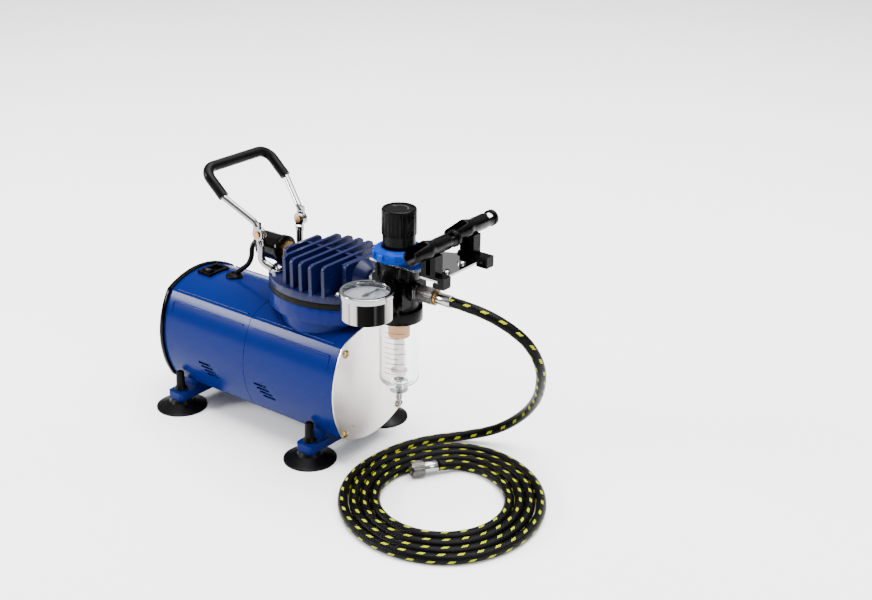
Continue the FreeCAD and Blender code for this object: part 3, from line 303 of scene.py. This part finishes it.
BLUE = (0.0003, 0.0066, 0.078, 1)
NAVY = (0.0011, 0.0034, 0.034, 1)
MATERIALS = {
    "blue_paint": paint("blue_paint", BLUE),
    "flange_paint": paint("flange_paint", (0.0006, 0.006, 0.08, 1), rough=0.3, orange_peel=0.02),
    "navy_paint": cast_paint("navy_paint", NAVY),
    "azure_plastic": plastic("azure_plastic", (0.0003, 0.03, 0.28, 1), 0.22, 0.05),
    "polished_steel": metal("polished_steel", (0.74, 0.69, 0.68, 1), 0.3, None, 0.02),
    "mirror_steel": metal("mirror_steel", (0.34, 0.335, 0.33, 1), 0.06, None, 0.03),
    "gauge_chrome": gauge_chrome("gauge_chrome"),
    "chrome_plate": metal("chrome_plate", (0.25, 0.25, 0.255, 1), 0.05),
    "copper_rivet": metal("copper_rivet", (0.4, 0.2, 0.08, 1), 0.25),
    "outlet_metal": outlet_metal("outlet_metal"),
    "bright_steel": metal("bright_steel", (0.34, 0.34, 0.345, 1), 0.14),
    "dark_nickel": metal("dark_nickel", (0.085, 0.08, 0.075, 1), 0.3),
    "yellow_zinc": metal("yellow_zinc", (0.36, 0.26, 0.11, 1), 0.2),
    "brass_fitting": metal("brass_fitting", (0.38, 0.24, 0.1, 1), 0.2),
    "olive_plate": gasket_plate("olive_plate"),
    "cast_aluminium": metal("cast_aluminium", (0.5, 0.51, 0.52, 1), 0.42),
    "laminated_steel": metal("laminated_steel", (0.28, 0.28, 0.3, 1), 0.4, (1, 0.05, 0.05)),
    "black_rubber": rubber("black_rubber", (0.0007, 0.0007, 0.0008, 1), 0.36),
    "black_plastic": plastic("black_plastic", (0.0005, 0.0005, 0.0006, 1), 0.26, 0.06),
    "gloss_black": plastic("gloss_black", (0.0005, 0.0005, 0.0006, 1), 0.14, 0.03),
    "clear_plastic": clear("clear_plastic", (0.97, 0.985, 0.99, 1)),
    "dial_white": plastic("dial_white", colour(140, 144, 152), 0.4, 0.02),
    "needle_black": plastic("needle_black", colour(22, 22, 22), 0.4),
    "filter_bronze": filter_plastic("filter_bronze"),
    "red_print": plastic("red_print", colour(150, 40, 34), 0.5, 0.02),
    "grey_print": plastic("grey_print", (0.03, 0.03, 0.032, 1), 0.5, 0.02),
}

SPECIAL = {"cylinder": "flange_paint", "pressure_switch": "gloss_black", "rear_trim": "gloss_black",
           "gauge_case": "gauge_chrome", "mains_gland": "black_rubber", "handle_pins": "copper_rivet",
           "outlet_fitting": "outlet_metal", "holder_plate": "mirror_steel"}
NO_BEVEL = {"shell_rear", "shell_front", "front_plate", "gauge_glass", "gauge_needle", "holder_plate_screws",
            "switch_cable", "hose_lead", "hose_coil", "filter_bowl", "handle_grip"}


WELD_GAP, EDGE_WIDTH, EDGE_ANGLE = 0.00001, 0.00025, math.radians(38)


def finish_nodes():
    """Give every CAD node its material and, unless it is in NO_BEVEL, take the knife edge off its corners."""
    slots = {entry["node"]: entry["material_slot"] for entry in frame["record"]["subparts"]}
    for name, obj in nodes.items():
        material = MATERIALS.get(SPECIAL.get(name, slots[name]), MATERIALS["black_plastic"])
        obj.data.materials.clear()
        obj.data.materials.append(material)
        if name in NO_BEVEL:
            continue
        weld = obj.modifiers.new("weld", "WELD")
        weld.merge_threshold = WELD_GAP
        bevel = obj.modifiers.new("bevel", "BEVEL")
        bevel.width = EDGE_WIDTH
        bevel.segments = 2
        bevel.limit_method = "ANGLE"
        bevel.angle_limit = EDGE_ANGLE
        bevel.harden_normals = True
        bevel.use_clamp_overlap = True


# ---------------------------------------------------------------- making pieces

def piece(name, mesh, material, body="frame"):
    obj = bpy.data.objects.new(name, mesh)
    bpy.context.scene.collection.objects.link(obj)
    mesh.materials.append(MATERIALS[material])
    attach(obj, body)
    return obj


def merged(name, solids):
    """One mesh from several bmesh solids, smooth where faces meet gently."""
    mesh = bpy.data.meshes.new(name)
    whole = bmesh.new()
    for solid in solids:
        part = bpy.data.meshes.new("part")
        solid.to_mesh(part)
        solid.free()
        whole.from_mesh(part)
        bpy.data.meshes.remove(part)
    whole.to_mesh(mesh)
    whole.free()
    mesh.shade_smooth()
    mesh.set_sharp_from_angle(angle=math.radians(35))
    return mesh


def bar(size, place, turn=None):
    """A box of that size, in millimetres, with softened edges."""
    solid = bmesh.new()
    bmesh.ops.create_cube(solid, size=1.0)
    scale = Matrix.Diagonal(Vector((*[s * MM for s in size], 1)))
    bmesh.ops.transform(solid, matrix=scale, verts=solid.verts)
    edge = min(size) * MM * 0.2
    bmesh.ops.bevel(solid, geom=solid.edges[:], offset=edge, segments=2, affect="EDGES", profile=0.5)
    lay = Matrix.Translation(place) @ (turn or Matrix.Identity(4))
    bmesh.ops.transform(solid, matrix=lay, verts=solid.verts)
    return solid


def on_circle(centre, radius, angle, height=0.0):
    """A place on a level circle round the centre, all in metres."""
    return centre + Vector((math.cos(angle) * radius, math.sin(angle) * radius, height))


# ---------------------------------------------------------------- air hose

HOSE_DIAMETER, HOSE_SIDES, HOSE_STEP = 0.0075, 18, 0.0022

# Control points from the outlet to the coil, the same as in part.py, in metres of the housing's frame.
ROUTE = [(0.1670, 0, 0.1390), (0.1880, 0, 0.1390), (0.2073, 0.0060, 0.1315),
         (0.2206, 0.0165, 0.1172), (0.2248, 0.0269, 0.0969), (0.2157, 0.0422, 0.0722),
         (0.2023, 0.0575, 0.0501), (0.1864, 0.0654, 0.0297), (0.1659, 0.0628, 0.0121),
         (0.1432, 0.0501, 0.0046), (0.1256, 0.0307, 0.0038), (0.1152, 0.0069, 0.0038)]
COIL = Vector((0.1840, -0.0314, 0.0038))
COIL_AZIMUTH = math.radians(36.95)
COIL_START, COIL_TURNS, POINTS_PER_TURN = math.radians(170), 3.83, 24
TURN_START, SHIFT_START, SHIFT_LENGTH = 172, 285, 62
# Outermost half-width of the coil and its shrinkage per turn, on its two axes.
ACROSS, ALONG = (0.0705, 0.00767), (0.07635, 0.00867)
END = [(0.1648, 0.0116, 0.0046), (0.1606, 0.0056, 0.0058), (0.1564, -0.0006, 0.0060)]


def smooth(value):
    value = max(0.0, min(1.0, value))
    return value * value * (3 - 2 * value)


def coil_points():
    """Turns that keep their size and step inwards by one hose where the lead joins them."""
    first = Vector((math.cos(COIL_AZIMUTH), math.sin(COIL_AZIMUTH), 0))
    second = Vector((-math.sin(COIL_AZIMUTH), math.cos(COIL_AZIMUTH), 0))
    points = []
    for step in range(round(COIL_TURNS * POINTS_PER_TURN) + 1):
        angle = COIL_START + 2 * math.pi * step / POINTS_PER_TURN
        turn, rest = divmod(math.degrees(angle) - TURN_START, 360)
        inward = turn + smooth((rest - SHIFT_START) / SHIFT_LENGTH) if turn >= 0 else 0
        wander = 0.00035 * math.sin(2.3 * angle) if step > 3 else 0
        across = ACROSS[0] - ACROSS[1] * inward + wander
        along = ALONG[0] - ALONG[1] * inward + wander
        local = angle - COIL_AZIMUTH
        points.append(COIL + first * across * math.cos(local) + second * along * math.sin(local))
    return points


def hose_line():
    """The hose's centre line, as a NURBS curve through the route, the coil and the end."""
    points = [Vector(p) for p in ROUTE] + coil_points() + [Vector(p) for p in END]
    data = bpy.data.curves.new("hose_line", "CURVE")
    data.dimensions = "3D"
    spline = data.splines.new("NURBS")
    spline.points.add(len(points) - 1)
    for knot, point in zip(spline.points, points):
        knot.co = (point.x + DATUM_X, point.y, point.z, 1)
    spline.order_u = 3
    spline.use_endpoint_u = True
    spline.resolution_u = 8
    line = bpy.data.objects.new("hose_line", data)
    bpy.context.scene.collection.objects.link(line)
    bpy.context.view_layer.update()
    mesh = bpy.data.meshes.new_from_object(line.evaluated_get(bpy.context.evaluated_depsgraph_get()))
    path = [v.co.copy() for v in mesh.vertices]
    bpy.data.meshes.remove(mesh)
    bpy.data.objects.remove(line)
    return path


def evenly(path, spacing):
    """The same line with points at an even spacing."""
    result, carried = [path[0]], 0.0
    for here, there in zip(path, path[1:]):
        run = (there - here).length
        while carried + run >= spacing:
            here = here.lerp(there, (spacing - carried) / run)
            run = (there - here).length
            carried = 0.0
            result.append(here.copy())
        carried += run
    if (result[-1] - path[-1]).length > spacing * 0.3:
        result.append(path[-1])
    return result


def tube_mesh(name, path, radius, sides):
    """A tube with UVs in metres along the line and in turns round it."""
    mesh = bpy.data.meshes.new(name)
    solid = bmesh.new()
    uv = solid.loops.layers.uv.new("hose")
    across = Vector((0, 1, 0))
    rings, lengths, travelled = [], [], 0.0
    for index, point in enumerate(path):
        ahead = (path[min(index + 1, len(path) - 1)] - path[max(index - 1, 0)]).normalized()
        across = (across - ahead * across.dot(ahead)).normalized()
        upward = ahead.cross(across)
        rings.append([solid.verts.new(point + radius * (across * math.cos(2 * math.pi * k / sides)
                                                        + upward * math.sin(2 * math.pi * k / sides)))
                      for k in range(sides)])
        if index:
            travelled += (point - path[index - 1]).length
        lengths.append(travelled)
    for index in range(len(rings) - 1):
        for k in range(sides):
            face = solid.faces.new((rings[index][k], rings[index][(k + 1) % sides],
                                    rings[index + 1][(k + 1) % sides], rings[index + 1][k]))
            face.smooth = True
            corners = ((index, k), (index, k + 1), (index + 1, k + 1), (index + 1, k))
            for loop, (ring, side) in zip(face.loops, corners):
                loop[uv].uv = (lengths[ring], side / sides)
    solid.faces.new(reversed(rings[0]))
    solid.faces.new(rings[-1])
    bmesh.ops.recalc_face_normals(solid, faces=solid.faces[:])
    solid.to_mesh(mesh)
    solid.free()
    return mesh, travelled


def braid():
    """Black braid with crossing carriers and rows of slanted yellow flecks."""
    n = Nodes("hose_braid")
    uv = n.add("ShaderNodeUVMap", uv_map="hose")
    split = n.add("ShaderNodeSeparateXYZ")
    n.link(uv.outputs[0], split.inputs[0])
    along, around = split.outputs[0], split.outputs[1]

    def wave(per_metre, per_turn):
        phase = n.math("ADD", n.math("MULTIPLY", along, per_metre), n.math("MULTIPLY", around, per_turn))
        return n.math("SINE", n.math("MULTIPLY", phase, 2 * math.pi))

    carriers, threads = (420.0, 12.0), (1900.0, 40.0)
    left, right = wave(carriers[0], carriers[1]), wave(carriers[0], -carriers[1])
    weave = n.math("MAXIMUM", left, n.math("MULTIPLY", right, 0.9))
    relief = n.math("ADD", weave, n.math("MULTIPLY", wave(*threads), 0.25))

    rows, period, girth = 4, 0.0132, math.pi * HOSE_DIAMETER
    half_long, half_wide, slant = 0.0022, 0.0009, 1.1
    stroke_pitch, stroke_gap = 0.0015, 0.3
    lane = n.math("MULTIPLY", around, float(rows))
    lane_number = n.math("FLOOR", lane)
    beside = n.math("MULTIPLY", n.math("SUBTRACT", n.math("FRACT", lane), 0.5), girth / rows)
    step = n.math("ADD", n.math("DIVIDE", along, period), n.math("MULTIPLY", lane_number, 0.5))
    ahead = n.math("MULTIPLY", n.math("SUBTRACT", n.math("FRACT", step), 0.5), period)
    slanted = n.math("ADD", ahead, n.math("MULTIPLY", beside, slant))
    inside = n.math("MULTIPLY", n.math("LESS_THAN", n.math("ABSOLUTE", slanted), half_long),
                    n.math("LESS_THAN", n.math("ABSOLUTE", beside), half_wide))
    strokes = n.math("DIVIDE", n.math("ADD", slanted, half_long), stroke_pitch)
    fleck = n.math("MULTIPLY", inside, n.math("GREATER_THAN", n.math("FRACT", strokes), stroke_gap))
    # Painted shade: the braid's black is darker where the weave's relief is low, in its hollows.
    dark = n.mix(n.spread(relief, 0, 1, -0.6, 1.1), (0.0003, 0.0003, 0.0004, 1), (0.0009, 0.0009, 0.0011, 1))
    worn = n.mix(n.spread(n.noise(400, 2), 0, 1), colour(176, 182, 4), colour(158, 162, 4))
    n.set(base_color=n.mix(fleck, dark, worn), roughness=n.spread(relief, 0.4, 0.22, -1, 1))
    n.shader.inputs["Specular IOR Level"].default_value = 0.06
    n.bump(relief, 0.35, 0.00025)
    return n.material


def make_hose():
    path = evenly(hose_line(), HOSE_STEP)
    MATERIALS["hose_braid"] = braid()
    mesh, length = tube_mesh("air_hose", path, HOSE_DIAMETER / 2, HOSE_SIDES)
    hose = piece("air_hose", mesh, "hose_braid", "frame")
    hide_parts("hose_lead", "hose_coil")
    print("hose", round(length, 4))


make_hose()
finish_nodes()

# ---------------------------------------------------------------- printed and moulded details


REGULATOR_X = 120


def bowl_marks():
    """Plain graduation lines on the side of the bowl."""
    centre = at(REGULATOR_X, 0, 0)
    radius, first_angle, dashes_per_radian = 14.64, math.radians(-96), 14.7
    solids = []
    for number in range(9):
        height = 76 + 4 * number
        for step in range(16 if number % 2 == 0 else 11):
            angle = first_angle + (step + 0.5) / dashes_per_radian
            spot = on_circle(centre, radius * MM, angle, height * MM)
            solids.append(bar((0.12, 1.02, 0.5), spot, Matrix.Rotation(angle, 4, "Z")))
    piece("bowl_marks", merged("bowl_marks", solids), "red_print")


def dial_marks():
    """Plain ticks round the gauge's dial."""
    low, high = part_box("gauge_dial")
    proud = 0.00004
    centre = Vector(((low.x + high.x) / 2, (low.y + high.y) / 2, high.z + proud))
    outer, steps, start, sweep = 15.6, 40, -45, 270
    solids = []
    for number in range(steps + 1):
        angle = math.radians(start + sweep * number / steps)
        long = 3.0 if number % 5 == 0 else 1.6
        spot = on_circle(centre, (outer - long / 2) * MM, angle)
        solids.append(bar((long, 0.35 if number % 5 else 0.6, 0.1), spot, Matrix.Rotation(angle, 4, "Z")))
    piece("dial_marks", merged("dial_marks", solids), "grey_print")


def knob_mark():
    """A plain curved arrow on the knob's sunken top."""
    centre = at(REGULATOR_X, 0, 197.3)
    radius, start, stride, steps = 6.4, 20, 6.4, 22
    solids = []
    for step in range(steps):
        angle = math.radians(start + stride * step)
        spot = on_circle(centre, radius * MM, angle)
        solids.append(bar((1.1, 0.76, 0.35), spot, Matrix.Rotation(angle, 4, "Z")))
    tip = math.radians(start + stride * steps)
    for lean in (-0.75, 0.75):
        spot = on_circle(centre, (radius + lean * 1.3) * MM, tip)
        solids.append(bar((0.9, 3.0, 0.35), spot, Matrix.Rotation(tip + lean * 0.9, 4, "Z")))
    piece("knob_mark", merged("knob_mark", solids), "grey_print", "knob")


bowl_marks()
dial_marks()
knob_mark()

# ---------------------------------------------------------------- studio


def make_world():
    """Even white overhead, darker towards the horizon, so that chrome has something to show."""
    world = bpy.data.worlds.new("studio")
    bpy.context.scene.world = world
    world.use_nodes = True
    tree = world.node_tree
    place = tree.nodes.new("ShaderNodeTexCoord")
    split = tree.nodes.new("ShaderNodeSeparateXYZ")
    ramp = tree.nodes.new("ShaderNodeValToRGB")
    background = tree.nodes["Background"]
    tree.links.new(place.outputs["Generated"], split.inputs[0])
    tree.links.new(split.outputs[2], ramp.inputs[0])
    tree.links.new(ramp.outputs[0], background.inputs[0])
    for element, (position, shade) in zip(ramp.color_ramp.elements, ((0.12, (0.1, 0.1, 0.105, 1)),
                                                                     (0.5, (1, 1, 1, 1)))):
        element.position, element.color = position, shade
    background.inputs[1].default_value = 0.9


def make_floor():
    mesh = bpy.data.meshes.new("floor")
    solid = bmesh.new()
    bmesh.ops.create_grid(solid, x_segments=1, y_segments=1, size=16)
    solid.to_mesh(mesh)
    solid.free()
    floor = bpy.data.objects.new("floor", mesh)
    bpy.context.scene.collection.objects.link(floor)
    n = Nodes("floor")
    white = n.mix(n.spread(n.noise(3, 2), 0, 1), (0.93, 0.93, 0.93, 1), (0.9, 0.9, 0.9, 1))
    n.set(base_color=white, roughness=0.8)
    mesh.materials.append(n.material)


def lamp(name, place, target, size, watts):
    data = bpy.data.lights.new(name, "AREA")
    data.shape = "RECTANGLE"
    data.size, data.size_y = size
    data.energy = watts
    light = bpy.data.objects.new(name, data)
    bpy.context.scene.collection.objects.link(light)
    light.location = place
    light.rotation_euler = (Vector(target) - Vector(place)).to_track_quat("-Z", "Y").to_euler()


make_world()
make_floor()
lamp("overhead", (0.1, 0.3, 2.0), (0.05, 0, 0), (2.0, 2.0), 190)
lamp("key", (-1.42, -1.25, 0.86), (0, 0, 0.08), (0.6, 0.35), 64)
lamp("fill", (1.6, -0.2, 0.9), (0, 0, 0.08), (0.5, 0.8), 14)
